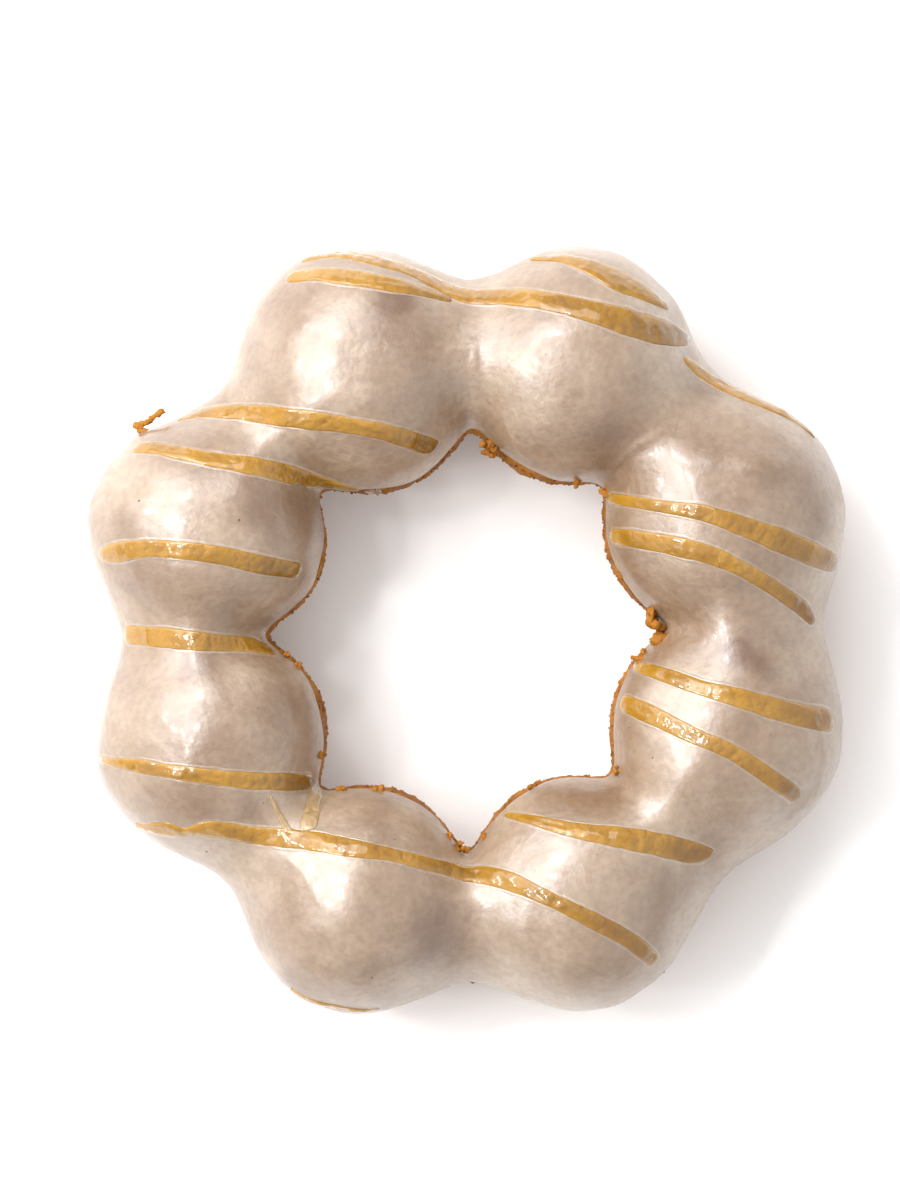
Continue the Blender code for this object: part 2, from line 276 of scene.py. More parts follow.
def mottle(place, scale, detail):
    """A noise node that follows the piece, with about this many lumps to the metre."""
    tree = place.id_data
    pattern = tree.nodes.new("ShaderNodeTexNoise")
    pattern.inputs["Scale"].default_value = scale
    pattern.inputs["Detail"].default_value = detail
    tree.links.new(place.outputs["Object"], pattern.inputs["Vector"])
    return pattern


def two_tone(pattern, low, low_colour, high, high_colour):
    """A colour node that goes from one colour to the other as the pattern goes from low to high."""
    tree = pattern.id_data
    blend = tree.nodes.new("ShaderNodeValToRGB")
    first, last = blend.color_ramp.elements
    first.position, first.color = low, (*low_colour, 1.0)
    last.position, last.color = high, (*high_colour, 1.0)
    tree.links.new(pattern.outputs["Fac"], blend.inputs["Fac"])
    return blend


def raise_relief(height, skin, distance, strength):
    """Bump on the skin from a height output; the distance is in metres."""
    tree = skin.id_data
    relief = tree.nodes.new("ShaderNodeBump")
    relief.inputs["Distance"].default_value = distance
    relief.inputs["Strength"].default_value = strength
    tree.links.new(height, relief.inputs["Height"])
    tree.links.new(relief.outputs["Normal"], skin.inputs["Normal"])


crust_mesh, angle, row = rolled_ring(BARE_ROWS + COVERED_ROWS, CRUST_COLUMNS)
lip_out, lip_in = lips(angle)
bare_start, bare_end = lip_in - UNDER_GLAZE, lip_out + 2 * math.pi + UNDER_GLAZE
covered = bare_start + 2 * math.pi - bare_end
section = np.where(row < BARE_ROWS, bare_start + (bare_end - bare_start) * row / BARE_ROWS,
                   bare_end + covered * (row - BARE_ROWS) / COVERED_ROWS)
points = ring_points(angle, section, 0.0)
below_lip = np.degrees(section - lip_in)
near_hole = np.exp(-((below_lip - CRAG_BAND_MIDDLE) / CRAG_BAND_WIDTH) ** 2)
crags = CRAG_STAND + relief_of(points, CRAGS)
points = ring_points(angle, section, near_hole * crags + relief_of(points, PORES))

crust, nodes, links, skin = new_finish("fried crust")
place = nodes.new("ShaderNodeTexCoord")
browning = two_tone(mottle(place, 260.0, 5.0), 0.3, CRUST_BROWN, 0.7, CRUST_GOLD)
links.new(browning.outputs["Color"], skin.inputs["Base Color"])
grain = mottle(place, 2200.0, 3.0)
raise_relief(grain.outputs["Fac"], skin, 0.0003, 0.6)
skin.inputs["Roughness"].default_value = 0.55
skin.inputs["Specular IOR Level"].default_value = 0.15
crust_piece = finish_piece("fried_dough", crust_mesh, points, crust)

# ---------------------------------------------------------------------------------------------
# Milk-tea glaze: a thin sugar glaze poured over the top, which set with a rounded lip. It is
# pale beige, a little see-through, satin, and speckled with fine tea.
# Its thickness, how deep its underside is set into the dough, and the turn that a lip rounds over.
GLAZE = 0.6
GLAZE_TUCK = 0.25
LIP_TURN = np.radians(2.2)
GLAZE_COLUMNS = 700
TOP_ROWS = 116
LIP_ROWS = 5
UNDERSIDE_ROWS = 8
# Swells all over the glaze: height, size and seed of each layer.
SWELLS = ((0.34, 8.0, 5), (0.16, 4.0, 6), (0.03, 1.7, 7))
# Lumps of the glaze: place, size and height.
LUMPS = (
    (22.0, 22.5, 5.0, 0.90), (29.6, 20.2, 3.0, 0.45), (35.2, 20.0, 2.4, 0.45),
    (31.0, 0.6, 3.0, 0.45), (38.5, 0.2, 2.6, 0.40), (26.0, -18.4, 3.4, 0.60),
    (5.2, -37.5, 3.5, 0.50), (-33.0, -13.6, 2.8, 0.30), (-33.5, 12.6, 2.6, 0.20),
    (-16.5, -42.3, 1.8, 0.30), (-24.0, -28.4, 1.5, 0.30), (-19.7, 36.8, 0.8, 0.20),
    (-19.4, 23.9, 1.2, 0.30), (-14.5, -34.0, 3.0, 0.35), (-11.6, -24.0, 2.0, 0.20),
    (-39.5, 23.5, 2.2, 0.80),
)
# Fine wrinkles and runs that stand up from the glaze: places and half widths.
WRINKLE_RISE = 0.25
WRINKLES = (
    ((1.0, 35.2, 0.45), (0.8, 31.0, 0.45), (1.1, 27.3, 0.45)),
    ((4.3, 27.0, 0.35), (5.0, 24.8, 0.35), (6.6, 22.6, 0.35)),
    ((18.3, 20.1, 0.5), (21.0, 22.6, 0.5), (24.4, 24.5, 0.5)),
    ((-22.5, -27.8, 0.4), (-20.0, -30.0, 0.4), (-18.0, -33.8, 0.4)),
    ((43.2, -12.5, 0.4), (43.6, -16.5, 0.4), (42.6, -20.0, 0.4), (39.5, -23.0, 0.4)),
    ((-9.5, 34.4, 0.4), (-5.0, 33.5, 0.4), (0.4, 34.6, 0.4)),
)
# Brown patches on the glaze: stains where the glaze is thin and the browned dough shows through,
# and painted shade on faces turned from the light; place, size and strength. The one with a
# strength below nought is painted light, which keeps the glaze pale on a face turned from the
# light.
STAINS_AND_SHADE = (
    (-8.9, 39.9, 2.6, 1.0), (-5.5, 35.5, 3.5, 0.4), (33.1, -2.9, 2.2, 1.4), (36.0, -4.5, 1.8, 0.8),
    (-33.3, -4.8, 2.2, 0.9), (-32.0, -12.9, 3.0, 0.4), (17.7, 24.5, 3.0, 0.6),
    (15.2, -42.2, 4.5, -0.6), (29.4, 29.4, 2.2, 0.7), (41.1, 18.3, 3.0, 0.5),
    (-22.0, 13.0, 4.5, 0.5), (-21.5, -11.5, 4.5, 0.5), (-5.5, 30.5, 3.5, 0.4),
    (-26.5, -22.0, 2.2, 0.6), (-3.7, -37.4, 3.5, 0.9), (22.0, -33.5, 3.5, 0.3),
)
# Strength of the faint stains all over: wide clouds and fine blots.
WIDE_STAINS = 0.65
FINE_STAINS = 0.25
GLAZE_THIN = (0.22, 0.133, 0.071)
GLAZE_THICK = (0.336, 0.243, 0.166)
STAIN_AND_SHADE_BROWN = (0.13, 0.058, 0.019)
FRECKLE_SHADE = (0.78, 0.745, 0.71)
UNSHADED = (1.0, 1.0, 1.0)


def lip_depth(rounding):
    """The glaze's thickness where a lip rounds over and tucks in under the crust's face."""
    return GLAZE * np.cos(rounding) - GLAZE_TUCK * np.sin(rounding)


glaze_rows = TOP_ROWS + 2 * LIP_ROWS + UNDERSIDE_ROWS
glaze_mesh, angle, row = rolled_ring(glaze_rows, GLAZE_COLUMNS)
lip_out, lip_in = lips(angle)
over = np.clip(row / (TOP_ROWS - 1), 0, 1)
section = lip_out + (lip_in - lip_out) * over
skin_depth = np.full_like(row, GLAZE)

on_lip_in = (row >= TOP_ROWS) & (row < TOP_ROWS + LIP_ROWS)
rounding = np.clip((row - TOP_ROWS + 1) / LIP_ROWS, 0, 1) * math.pi / 2
section = np.where(on_lip_in, lip_in + LIP_TURN * np.sin(rounding), section)
skin_depth = np.where(on_lip_in, lip_depth(rounding), skin_depth)

on_lip_out = row > glaze_rows - LIP_ROWS
rounding = np.clip((glaze_rows - row) / LIP_ROWS, 0, 1) * math.pi / 2
section = np.where(on_lip_out, lip_out - LIP_TURN * np.sin(rounding), section)
skin_depth = np.where(on_lip_out, lip_depth(rounding), skin_depth)

under = (row >= TOP_ROWS + LIP_ROWS) & ~on_lip_out
back = (row - TOP_ROWS - LIP_ROWS) / UNDERSIDE_ROWS
section = np.where(under, lip_in + LIP_TURN + (lip_out - lip_in - 2 * LIP_TURN) * back, section)
skin_depth = np.where(under, -GLAZE_TUCK, skin_depth)

points = ring_points(angle, section, 0.0)
swell = relief_of(points, SWELLS)
x, y = points[:, 0] - RING_X, points[:, 1] - RING_Y
for lump_x, lump_y, size, height in LUMPS:
    swell += height * np.exp(-((x - lump_x) ** 2 + (y - lump_y) ** 2) / size ** 2)
for line in WRINKLES:
    ridge = np.zeros_like(x)
    for (start_x, start_y, size), (end_x, end_y, _) in zip(line, line[1:]):
        run_x, run_y = end_x - start_x, end_y - start_y
        along = ((x - start_x) * run_x + (y - start_y) * run_y) / (run_x ** 2 + run_y ** 2)
        along = np.clip(along, 0, 1)
        off = np.hypot(x - start_x - along * run_x, y - start_y - along * run_y)
        ridge = np.maximum(ridge, WRINKLE_RISE * size * np.exp(-(off / size) ** 2))
    swell += ridge
# Brown stains and painted shade on faces turned from the light, then faint random stains all over.
stain_and_shade = np.zeros_like(x)
for stain_x, stain_y, size, strength in STAINS_AND_SHADE:
    stain_and_shade += strength * np.exp(-((x - stain_x) ** 2 + (y - stain_y) ** 2) / size ** 2)
stain_and_shade += WIDE_STAINS * np.clip(rumple(points, 6.0, 8) - 0.08, 0, 1)
stain_and_shade += FINE_STAINS * np.clip(rumple(points, 2.2, 9), 0, 1)
points = ring_points(angle, section, skin_depth + np.where(under, 0.0, swell))
glaze_mesh.attributes.new("stain_and_shade", "FLOAT", "POINT").data.foreach_set("value", np.clip(stain_and_shade, 0, 1))

# The colour goes with the glaze's thickness, under stains, painted shade and fine freckles; the
# gloss is patchy.
glaze, nodes, links, skin = new_finish("milk-tea glaze")
place = nodes.new("ShaderNodeTexCoord")
thickness = two_tone(mottle(place, 75.0, 4.0), 0.37, GLAZE_THIN, 0.63, GLAZE_THICK)
thickness.name = "thickness"
stain_and_shade_share = nodes.new("ShaderNodeAttribute")
stain_and_shade_share.attribute_name = "stain_and_shade"
stained_and_shaded = nodes.new("ShaderNodeMix")
stained_and_shaded.data_type = "RGBA"
stained_and_shaded.inputs["B"].default_value = (*STAIN_AND_SHADE_BROWN, 1.0)
links.new(stain_and_shade_share.outputs["Fac"], stained_and_shaded.inputs["Factor"])
links.new(thickness.outputs["Color"], stained_and_shaded.inputs["A"])
grain = mottle(place, 1150.0, 3.0)
freckles = two_tone(grain, 0.3, FRECKLE_SHADE, 0.65, UNSHADED)
freckled = nodes.new("ShaderNodeMix")
freckled.data_type = "RGBA"
freckled.blend_type = "MULTIPLY"
freckled.inputs["Factor"].default_value = 1.0
links.new(stained_and_shaded.outputs["Result"], freckled.inputs["A"])
links.new(freckles.outputs["Color"], freckled.inputs["B"])
links.new(freckled.outputs["Result"], skin.inputs["Base Color"])
satin = mottle(place, 190.0, 3.0)
sheen = nodes.new("ShaderNodeMapRange")
sheen.inputs["From Min"].default_value = 0.35
sheen.inputs["From Max"].default_value = 0.65
sheen.inputs["To Min"].default_value = 0.8
sheen.inputs["To Max"].default_value = 0.35
links.new(satin.outputs["Fac"], sheen.inputs["Value"])
links.new(sheen.outputs["Result"], skin.inputs["Coat Weight"])
raise_relief(grain.outputs["Fac"], skin, 0.0001, 1.0)
skin.inputs["Roughness"].default_value = 0.42
skin.inputs["IOR"].default_value = 1.62
skin.inputs["Specular IOR Level"].default_value = 0.92
skin.inputs["Subsurface Weight"].default_value = 0.25
skin.inputs["Subsurface Radius"].default_value = (1.0, 0.6, 0.35)
skin.inputs["Subsurface Scale"].default_value = 0.0015
skin.inputs["Coat Roughness"].default_value = 0.18
glaze_piece = finish_piece("milk_tea_glaze", glaze_mesh, points, glaze)

# ---------------------------------------------------------------------------------------------
# Drizzle: thick amber caramel, poured in strands across the set glaze. Each strand is flat and
# glassy, lies flush along its edges, and runs down over the sides where it is left hanging.
# Its height above the glaze and depth in it, the step between its points, and its rounded ends.
STRAND_HEIGHT = 0.22
STRAND_SINK = 0.15
STRAND_STEP = 0.35
END_ROUNDING = 0.5
SLIMMEST_END = 0.04
# Shares by which a strand's width wavers and its height is lumpy, and the lengths of the swells.
WIDTH_WAVER = 0.08
WAVER_LENGTH = 2.5
HEIGHT_LUMPS = 0.5
LUMP_LENGTH = 0.9
STRAND_FLOW = 0.5
# Where a strand leaves the glaze: the gap at which it hangs free, the slope that it stops at over
# the hole, the least that is seen of its width, and the height at which it hangs off the outline.
WIDEST_GAP = 1.2
STEEPEST_AT_HOLE = 0.35
NARROWEST_VIEW = 0.4
HANG_HEIGHT = 15.0
EVENING_PASSES = 60
# Depth of the caramel's colour along a strand: at its start, past its first POOL_START, at
# POOL_SHARE of its run, and at its end, where it pools; the deep colour there is also painted shade
# on the end turned from the light. Its edges are thinner than its middle.
POOL_START = 2.5
POOL_SHARE = 0.62
POOL_AND_SHADE_DEPTHS = (0.4, 0.6, 0.62, 0.95)
EDGE_THINNING = 0.2
# The last strands are thin, nearly clear runs, which press no rim of glaze up.
THIN_RUNS = 2
THIN_RUN_DEPTH = -0.15
CARAMEL_CLEAR = (0.32, 0.215, 0.105)
CARAMEL_LIGHT = (0.325, 0.19, 0.055)
CARAMEL_AMBER = (0.318, 0.159, 0.015)
CARAMEL_DEEP = (0.16, 0.07, 0.006)
# Places along each strand on the plan, from the ring's middle, and its widths there.
STRANDS = (
    ((-20.6, 45.9, 1.1), (-15.7, 46.1, 1.6), (-10.7, 45.1, 1.4), (-5.8, 43.6, 1.4),
     (-0.9, 41.2, 1.8), (5.3, 40.8, 2.4), (9.0, 40.4, 2.5), (14.0, 39.3, 2.7), (18.9, 37.9, 3.4),
     (23.8, 36.4, 3.5), (27.3, 35.9, 2.2)),
    ((-22.1, 43.3, 1.6), (-18.2, 43.5, 2.0), (-13.2, 43.0, 2.1), (-8.3, 42.1, 1.8),
     (-4.6, 41.3, 1.3), (-1.9, 40.4, 0.7)),
    ((7.8, 45.5, 0.4), (11.5, 45.5, 1.3), (15.2, 44.5, 2.1), (18.9, 42.6, 2.6), (21.4, 41.4, 2.2),
     (24.8, 39.4, 0.8)),
    ((26.6, 33.2, 0.8), (28.8, 31.7, 1.5), (32.5, 29.5, 1.3), (38.7, 26.7, 1.1), (43.6, 24.1, 0.5)),
    ((-36.0, 26.4, 0.6), (-33.0, 26.6, 1.4), (-28.0, 26.6, 2.1), (-20.6, 25.7, 2.5),
     (-13.2, 24.7, 2.0), (-8.3, 23.6, 2.3), (-3.8, 22.0, 2.4)),
    ((-41.1, 22.1, 1.2), (-37.9, 22.1, 1.8), (-33.0, 21.1, 1.9), (-25.6, 19.8, 2.3),
     (-20.6, 18.6, 2.5), (-17.5, 17.8, 1.6), (-14.5, 17.3, 0.9), (-10.7, 16.9, 0.5)),
    ((-45.3, 8.9, 1.6), (-42.9, 9.4, 2.5), (-37.9, 9.8, 2.2), (-30.5, 9.0, 2.4), (-25.6, 7.9, 2.4),
     (-20.4, 7.0, 2.1)),
    ((-42.3, -0.7, 2.3), (-36.7, -1.2, 2.7), (-31.7, -1.7, 2.4), (-26.8, -2.0, 2.1),
     (-23.7, -2.8, 1.3)),
    ((-45.3, -16.2, 0.9), (-40.4, -16.9, 1.7), (-35.4, -17.7, 1.9), (-28.0, -18.6, 2.1),
     (-23.1, -18.8, 2.3), (-19.1, -18.9, 2.0)),
    ((-41.4, -24.9, 0.8), (-37.2, -24.5, 2.0), (-34.7, -25.1, 1.2), (-31.7, -24.6, 2.1),
     (-26.8, -25.4, 2.3), (-19.4, -26.0, 2.6), (-14.4, -26.9, 2.4), (-9.5, -27.7, 1.7),
     (-4.6, -29.0, 1.8), (0.4, -29.9, 2.4), (5.3, -31.1, 2.4), (10.3, -33.3, 1.9),
     (15.2, -35.7, 2.1), (20.1, -38.4, 2.2), (23.3, -41.2, 1.8)),
    ((4.6, -22.8, 0.8), (9.0, -23.8, 1.5), (14.0, -24.9, 2.1), (18.9, -25.6, 2.8),
     (23.8, -26.6, 3.0), (27.5, -27.5, 2.9), (30.3, -27.9, 1.4)),
    ((20.6, -4.6, 1.5), (25.1, -6.0, 1.9), (28.8, -7.3, 2.0), (33.7, -8.6, 2.4), (38.7, -10.1, 2.8),
     (43.6, -11.2, 3.0), (45.3, -11.2, 2.4)),
    ((18.9, -9.0, 2.2), (22.6, -10.6, 2.4), (27.5, -13.0, 2.2), (32.5, -15.2, 2.0),
     (37.4, -18.4, 2.2), (40.9, -20.9, 2.0)),
    ((17.2, 16.1, 1.4), (23.8, 15.0, 1.6), (28.8, 14.2, 2.1), (33.7, 12.6, 2.5), (38.7, 10.7, 3.0),
     (43.0, 8.9, 2.9), (45.6, 7.8, 2.3)),
    ((17.6, 11.3, 2.1), (21.4, 10.9, 2.3), (28.8, 9.3, 2.5), (33.7, 7.3, 2.0), (38.7, 4.3, 2.0),
     (41.1, 2.5, 2.0), (42.8, 0.8, 1.4)),
    ((-22.2, -44.8, 0.5), (-20.0, -45.7, 0.8), (-15.5, -46.6, 0.55), (-10.7, -47.3, 0.4)),
    ((-18.5, -19.9, 2.0), (-18.9, -22.0, 2.3), (-19.6, -24.9, 2.2)),
    ((-24.2, -20.6, 0.4), (-22.9, -23.2, 0.8), (-21.7, -25.3, 1.0)),
)
# Places round a strip's section, as shares of its half width and of its height or depth.
BELOW = [(t, -(1 - t ** 2) ** 0.5) for t in np.linspace(0.75, -0.75, 5)]
FLAT_TOP = [(t, 1.2 * (1 - abs(t) ** 2.6) ** 0.5 - 0.2) for t in np.linspace(-1, 1, 17)] + BELOW

glaze_surface = BVHTree.FromObject(glaze_piece, bpy.context.evaluated_depsgraph_get())


def smooth_route(places):
    """Points about a step apart on a smooth curve through a strand's places."""
    route = []
    for index in range(len(places) - 1):
        before, start = places[max(index - 1, 0)], places[index]
        end, after = places[index + 1], places[min(index + 2, len(places) - 1)]
        steps = max(1, round(math.dist(start[:2], end[:2]) / STRAND_STEP))
        for step in range(steps):
            t = step / steps
            route.append([0.5 * (2 * b + (c - a) * t + (2 * a - 5 * b + 4 * c - d) * t ** 2
                                 + (3 * b - a - 3 * c + d) * t ** 3)
                          for a, b, c, d in zip(before, start, end, after)])
    route.append(list(places[-1]))
    return np.array(route)


def glaze_below(x, y):
    """The point of the glaze seen from above at this place on the plan, and its normal."""
    above = Vector((RING_X + x, RING_Y + y, 3 * BALL_MIDDLE)) * MM
    return glaze_surface.ray_cast(above, Vector((0.0, 0.0, -1.0)))[:2]


def drape(route):
    """A strand's points in mm, its directions across and out, and its true widths."""
    lie, outward, on_top = [], [], []
    for x, y, _ in route:
        hit, normal = glaze_below(x, y)
        if hit is None:
            hit = Vector((RING_X + x, RING_Y + y, HANG_HEIGHT)) * MM
            normal = Vector((x, y, 0.0)).normalized()
        lie.append(hit / MM)
        outward.append(normal)
        on_top.append(normal.z > STEEPEST_AT_HOLE or x * normal.x + y * normal.y > 0)
    kept = slice(on_top.index(True), len(on_top) - on_top[::-1].index(True))
    lie, outward, route = np.array(lie)[kept], np.array(outward)[kept], route[kept]
    steep = 1 - np.abs(outward[:, 2])
    for _ in range(EVENING_PASSES):
        between = (lie[:-2, 2] + lie[2:, 2]) / 2
        lie[1:-1, 2] += steep[1:-1] * (between - lie[1:-1, 2])
        outward[1:-1] = (outward[:-2] + 2 * outward[1:-1] + outward[2:]) / 4
    forward = np.gradient(lie, axis=0)
    forward /= np.linalg.norm(forward, axis=1, keepdims=True)
    across = np.cross(forward, outward)
    across /= np.linalg.norm(across, axis=1, keepdims=True)
    outward = np.cross(across, forward)
    widths = route[:, 2] / np.maximum(np.hypot(across[:, 0], across[:, 1]), NARROWEST_VIEW)
    return route, lie, across, outward, widths


def laid_strip(lie, across, outward, offsets, half_widths, heights, sink, profile, depths, flow):
    """A closed flat strip along the points, laid on the glaze across its width as well."""
    count, sides = len(lie), len(profile)
    bm = bmesh.new()
    depth_layer = bm.verts.layers.float.new("depth")
    made = bmesh.ops.create_grid(bm, x_segments=count - 1, y_segments=sides, size=0.5)["verts"]
    for vertex in made:
        step = round((vertex.co.x + 0.5) * (count - 1))
        sideways, up = profile[round((vertex.co.y + 0.5) * sides) % sides]
        shift = sideways * half_widths[step]
        flat = Vector(lie[step] + across[step] * (offsets[step] + shift)) * MM
        flowing = noise.noise(Vector((0.6 * step * STRAND_STEP, 1.2 * shift, lie[0][1])))
        ripple = 1 + flow * flowing * up
        vertex[depth_layer] = depths[step] - EDGE_THINNING * sideways ** 2
        rise = up * heights[step] * ripple if up > 0 else up * sink
        near, normal, _, gap = glaze_surface.find_nearest(flat)
        if gap > WIDEST_GAP * MM:
            near, normal = flat, Vector(outward[step])
        vertex.co = near + normal * rise * MM
    bmesh.ops.remove_doubles(bm, verts=made, dist=1e-7)
    ends = [edge for edge in bm.edges if edge.is_boundary]
    bmesh.ops.holes_fill(bm, edges=ends, sides=sides + 1)
    bmesh.ops.recalc_face_normals(bm, faces=bm.faces)
    strip = bpy.data.meshes.new("strip")
    bm.to_mesh(strip)
    bm.free()
    return strip


def joined(strips, name):
    """One mesh of several strips."""
    bm = bmesh.new()
    for strip in strips:
        bm.from_mesh(strip)
        bpy.data.meshes.remove(strip)
    mesh = bpy.data.meshes.new(name)
    bm.to_mesh(mesh)
    bm.free()
    return mesh


def rounded_ends(route, reach):
    """Shares of a strand's full size along it, rounding off within this reach of each end."""
    steps = np.hypot(*np.diff(route[:, :2], axis=0).T)
    run = np.concatenate(([0.0], np.cumsum(steps)))
    end = np.clip(np.minimum(run, run[-1] - run) / reach, SLIMMEST_END, 1)
    return np.sqrt(1 - (1 - end) ** 2), run


def wander(run, length, *lane):
    """Smooth noise from -1 to 1 along a strand, in swells of this length; each lane has its own."""
    return np.array([noise.noise(Vector((t / length, *lane))) for t in run])


strands, laid = [], []
for number, places in enumerate(STRANDS):
    route, lie, across, outward, widths = drape(smooth_route(places))
    ends, run = rounded_ends(route, END_ROUNDING)
    half = widths / 2 * ends * (1 + WIDTH_WAVER * wander(run, WAVER_LENGTH, number * 3.7, 0.0))
    lumps = wander(run, LUMP_LENGTH, number * 5.1, 4.0)
    heights = STRAND_HEIGHT * ends * (1 + HEIGHT_LUMPS * lumps)
    # Deeper towards the end: pooled caramel, and painted shade on the end turned from the light.
    depths = np.interp(run, (0.0, POOL_START, POOL_SHARE * run[-1], run[-1]), POOL_AND_SHADE_DEPTHS)
    if number >= len(STRANDS) - THIN_RUNS:
        depths = np.full_like(run, THIN_RUN_DEPTH)
    strands.append(laid_strip(lie, across, outward, np.zeros_like(run), half, heights, STRAND_SINK,
                              FLAT_TOP, depths, STRAND_FLOW))
    laid.append((lie, across, outward, half, ends, run))
drizzle_mesh = joined(strands, "drizzle")

# The colour deepens with the depth of caramel, unevenly, which also paints shade on the strands'
# ends. The surface has fine wrinkles all over, and domes of tiny bubbles in patches.
caramel, nodes, links, skin = new_finish("caramel")
place = nodes.new("ShaderNodeTexCoord")
pooled_and_shaded = nodes.new("ShaderNodeAttribute")
pooled_and_shaded.attribute_name = "depth"
streaks = mottle(place, 220.0, 4.0)
uneven = nodes.new("ShaderNodeMapRange")
uneven.inputs["To Min"].default_value = -0.5
uneven.inputs["To Max"].default_value = 0.5
deeper = nodes.new("ShaderNodeMath")
links.new(streaks.outputs["Fac"], uneven.inputs["Value"])
links.new(pooled_and_shaded.outputs["Fac"], deeper.inputs[0])
links.new(uneven.outputs["Result"], deeper.inputs[1])
amber = nodes.new("ShaderNodeValToRGB")
amber.color_ramp.elements[0].color = (*CARAMEL_CLEAR, 1.0)
amber.color_ramp.elements[1].color = (*CARAMEL_DEEP, 1.0)
amber.color_ramp.elements.new(0.12).color = (*CARAMEL_LIGHT, 1.0)
amber.color_ramp.elements.new(0.4).color = (*CARAMEL_AMBER, 1.0)
links.new(deeper.outputs["Value"], amber.inputs["Fac"])
links.new(amber.outputs["Color"], skin.inputs["Base Color"])
bubbles = nodes.new("ShaderNodeTexVoronoi")
bubbles.feature = "SMOOTH_F1"
bubbles.inputs["Scale"].default_value = 1000.0
bubbles.inputs["Smoothness"].default_value = 0.3
domes = nodes.new("ShaderNodeMath")
domes.operation = "POWER"
domes.inputs[1].default_value = 2.0
lather = mottle(place, 330.0, 2.0)
bubbly = nodes.new("ShaderNodeMapRange")
bubbly.inputs["From Min"].default_value = 0.42
bubbly.inputs["From Max"].default_value = 0.6
bubbly.inputs["To Min"].default_value = -0.25
bubbly.inputs["To Max"].default_value = -1.0
wrinkles = mottle(place, 900.0, 2.0)
surface = nodes.new("ShaderNodeMath")
surface.operation = "MULTIPLY_ADD"
links.new(place.outputs["Object"], bubbles.inputs["Vector"])
links.new(bubbles.outputs["Distance"], domes.inputs[0])
links.new(lather.outputs["Fac"], bubbly.inputs["Value"])
links.new(domes.outputs["Value"], surface.inputs[0])
links.new(bubbly.outputs["Result"], surface.inputs[1])
links.new(wrinkles.outputs["Fac"], surface.inputs[2])
raise_relief(surface.outputs["Value"], skin, 0.0003, 0.9)
skin.inputs["Roughness"].default_value = 0.12
skin.inputs["Specular IOR Level"].default_value = 0.1
skin.inputs["Coat Weight"].default_value = 1.0
skin.inputs["Coat Roughness"].default_value = 0.03
skin.inputs["Coat IOR"].default_value = 1.56
finish_piece("caramel_drizzle", drizzle_mesh, None, caramel)

# ---------------------------------------------------------------------------------------------
# Glaze rims: where a strand sank into the soft glaze, a thin pale bead of glaze stands up along
# each of its edges.
# Size of a bead, how far outside the strand's edge its middle runs, and how it drifts and ripples.
RIM_HALF_WIDTH = 0.38
RIM_HEIGHT = 0.05
RIM_SINK = 0.25
RIM_OUT = 0.05
RIM_DRIFT = 0.12
RIM_FLOW = 0.3
RIM_SHADE = (0.265, 0.178, 0.113)
RIM_PALE = (0.36, 0.262, 0.185)
BEAD_TOP = [(t, 1.3 * (1 - t ** 2) ** 2 - 0.3) for t in np.linspace(-1, 1, 13)] + BELOW

rims = []
for number, (lie, across, outward, half, ends, run) in enumerate(laid[:-THIN_RUNS]):
    for side in (-1, 1):
        size = ends * (0.75 + 0.5 * wander(run, 3.0, number * 7.3, side * 5.0))
        drift = RIM_DRIFT * wander(run, 1.5, number * 2.9, side * 9.0)
        offsets = side * (half + RIM_OUT) + drift * ends
        rims.append(laid_strip(lie, across, outward, offsets, RIM_HALF_WIDTH * size,
                               RIM_HEIGHT * size, RIM_SINK, BEAD_TOP, run, RIM_FLOW))
pale_glaze = glaze.copy()
pale_glaze.name = "pale glaze"
pale_ramp = pale_glaze.node_tree.nodes["thickness"].color_ramp
pale_ramp.elements[0].color = (*RIM_SHADE, 1.0)
pale_ramp.elements[1].color = (*RIM_PALE, 1.0)
finish_piece("glaze_rims", joined(rims, "glaze rims"), None, pale_glaze)

# ---------------------------------------------------------------------------------------------
# Crumbs: crags of browned crust that break out of the glaze's lip round the hole and here and
# there on the outline. They are rough, orange-brown, and grown together with the dough.
CRUMB_LUMPS = 7
CRUMB_OUT = 0.6
# Large crumbs: place on the plan, half size and height. Each is a clump of lumps, and its middle
# stands off the dough by at most CRUMB_OUT of its half size.
CRUMBS = (
    (2.9, 22.0, 1.0, 17.0), (13.5, 17.4, 0.6, 17.0), (16.9, 17.0, 0.7, 17.0),
    (22.6, 0.9, 1.3, 16.5), (23.6, -0.6, 1.2, 16.5), (21.5, -3.5, 0.9, 17.0),
    (-22.0, -2.8, 0.6, 17.0), (-20.6, -4.3, 0.6, 17.0), (-18.6, -8.0, 0.4, 17.0),
    (-17.9, -15.6, 0.5, 17.0), (-15.6, -18.8, 0.6, 17.0), (-10.8, -19.6, 0.6, 17.0),
    (-2.2, -25.8, 0.5, 17.0), (0.0, -26.6, 0.7, 17.0), (2.3, -25.6, 0.6, 17.0),
    (4.8, -22.6, 0.5, 17.0), (8.0, -19.6, 0.5, 17.0), (18.4, -17.6, 0.6, 17.0),
    (18.8, 6.6, 0.5, 17.0), (26.8, -38.2, 0.3, 12.0), (24.0, -42.6, 0.3, 12.0),
    (0.4, -42.9, 0.5, 12.0), (28.8, -29.3, 0.4, 12.0),
)
# Fine crumbs lie in a band below the glaze's lip round the hole, so many degrees of section wide.
FINE_CRUMBS = 700
FINE_CRUMB_SIZES = (0.07, 0.22)
FINE_CRUMB_BAND = 22.0
FINE_CRUMB_STAND = 0.05
# A bent splinter of crust that stands off the outline beside the upper left strand.
SPLINTER = (
    (-39.6, 24.0, 0.5), (-40.6, 25.0, 0.6), (-39.4, 25.5, 0.5), (-38.3, 26.3, 0.45),
    (-37.4, 27.0, 0.3),
)
SPLINTER_HEIGHT = 14.5
HANDFUL = 40

rng = random.Random(5)
crust_surface = BVHTree.FromObject(crust_piece, bpy.context.evaluated_depsgraph_get())
crumbs = []


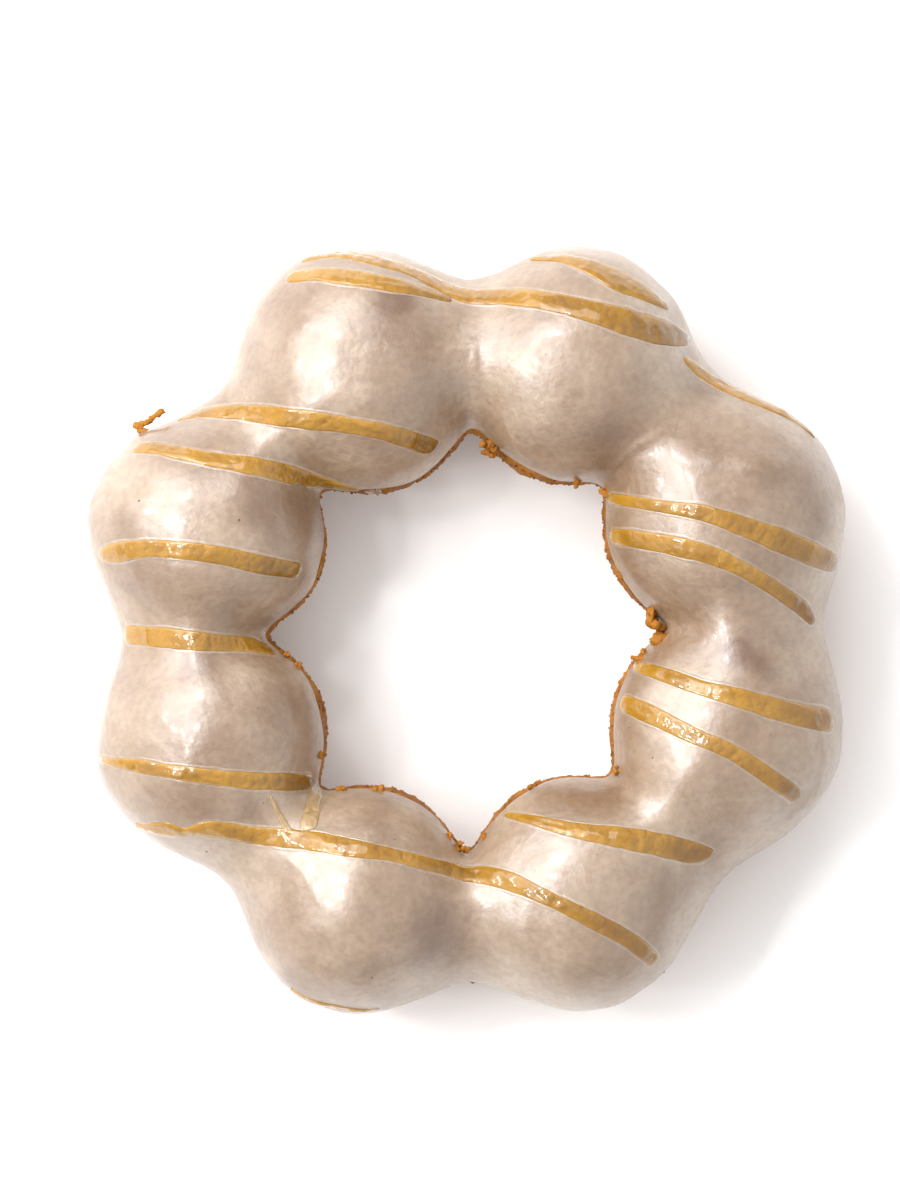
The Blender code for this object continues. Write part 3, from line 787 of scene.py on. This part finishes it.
def add_crumb(place, size, detail, stretch):
    """An uneven lump, grown together with what it lies on."""
    bm = bmesh.new()
    bmesh.ops.create_icosphere(bm, subdivisions=detail, radius=1.0)
    shift = Vector((rng.uniform(0, 99), rng.uniform(0, 99), rng.uniform(0, 99)))
    for vertex in bm.verts:
        coarse, fine = noise.noise(vertex.co * 1.5 + shift), noise.noise(vertex.co * 4.0 + shift)
        vertex.co *= 1 + 0.5 * coarse + 0.25 * fine
        vertex.co = place + vertex.co * stretch * size * MM
    crumb = bpy.data.meshes.new("crumb")
    bm.to_mesh(crumb)
    bm.free()
    crumbs.append(crumb)


def any_stretch():
    """A crumb's length, width and height as shares of its size, drawn anew."""
    return Vector((rng.uniform(0.6, 1.4), rng.uniform(0.6, 1.4), rng.uniform(0.6, 1.1)))


for x, y, size, height in CRUMBS:
    middle = Vector((RING_X + x, RING_Y + y, height)) * MM
    near, normal, _, gap = crust_surface.find_nearest(middle)
    middle = near + (middle - near).normalized() * min(gap, CRUMB_OUT * size * MM)
    for _ in range(CRUMB_LUMPS):
        spread = Vector((rng.gauss(0, 0.5), rng.gauss(0, 0.5), rng.gauss(0, 0.4))) * size * MM
        add_crumb(middle + spread, size * rng.uniform(0.35, 0.7), 3, any_stretch())
for _ in range(FINE_CRUMBS):
    turn = np.array([rng.uniform(0, 2 * math.pi)])
    below_lip = math.radians(rng.uniform(0.0, FINE_CRUMB_BAND))
    spot = ring_points(turn, lips(turn)[1] + below_lip, FINE_CRUMB_STAND)[0]
    add_crumb(Vector(spot) * MM, rng.uniform(*FINE_CRUMB_SIZES), 2, any_stretch())
for (x, y, size), (next_x, next_y, _) in zip(SPLINTER, SPLINTER[1:]):
    for share in (0.0, 0.33, 0.66):
        lump_x, lump_y = x + (next_x - x) * share, y + (next_y - y) * share
        spot = Vector((RING_X + lump_x, RING_Y + lump_y, SPLINTER_HEIGHT)) * MM
        add_crumb(spot, size * rng.uniform(0.85, 1.15), 2, any_stretch())
handfuls = [joined(crumbs[first:first + HANDFUL], "handful")
            for first in range(0, len(crumbs), HANDFUL)]
finish_piece("crust_crumbs", joined(handfuls, "crust crumbs"), None, crust)

# ---------------------------------------------------------------------------------------------
# Tea specks: tiny dark grains of tea that lie half sunk in the face of the glaze, a few larger
# ones among many fine ones.
FINE_SPECKS = 130
FINE_SPECK_SIZES = (0.05, 0.1)
FINE_SPECK_RING = (24.0, 44.0)
SPECK_SUNK = 0.5
TEA_BROWN = (0.09, 0.05, 0.025, 1.0)
# The larger specks: place on the plan and half size.
SPECKS = (
    (-40.3, 15.7, 0.2), (-28.0, 13.3, 0.17), (-23.7, 13.7, 0.14), (-25.7, -9.8, 0.17),
    (-32.1, -27.5, 0.22), (14.2, 39.5, 0.2), (17.9, 38.3, 0.14), (-8.9, -25.9, 0.15),
    (19.9, -12.2, 0.2), (22.8, -15.9, 0.18), (-11.7, -42.9, 0.17), (-9.0, -43.2, 0.14),
    (-8.5, 36.0, 0.12), (-39.0, 12.0, 0.1), (-17.0, -12.0, 0.12),
)

speck_places = list(SPECKS)
for _ in range(FINE_SPECKS):
    turn, radius = rng.uniform(0, 2 * math.pi), rng.uniform(*FINE_SPECK_RING)
    size = rng.uniform(*FINE_SPECK_SIZES)
    speck_places.append((radius * math.cos(turn), radius * math.sin(turn), size))
bm = bmesh.new()
for x, y, size in speck_places:
    hit, normal = glaze_below(x, y)
    if hit is None:
        continue
    for vertex in bmesh.ops.create_icosphere(bm, subdivisions=1, radius=size * MM)["verts"]:
        vertex.co *= rng.uniform(0.7, 1.2)
        vertex.co = hit + vertex.co - normal * size * SPECK_SUNK * MM
speck_mesh = bpy.data.meshes.new("tea specks")
bm.to_mesh(speck_mesh)
bm.free()

tea, nodes, links, skin = new_finish("tea")
skin.inputs["Base Color"].default_value = TEA_BROWN
skin.inputs["Roughness"].default_value = 0.5
finish_piece("tea_specks", speck_mesh, None, tea)
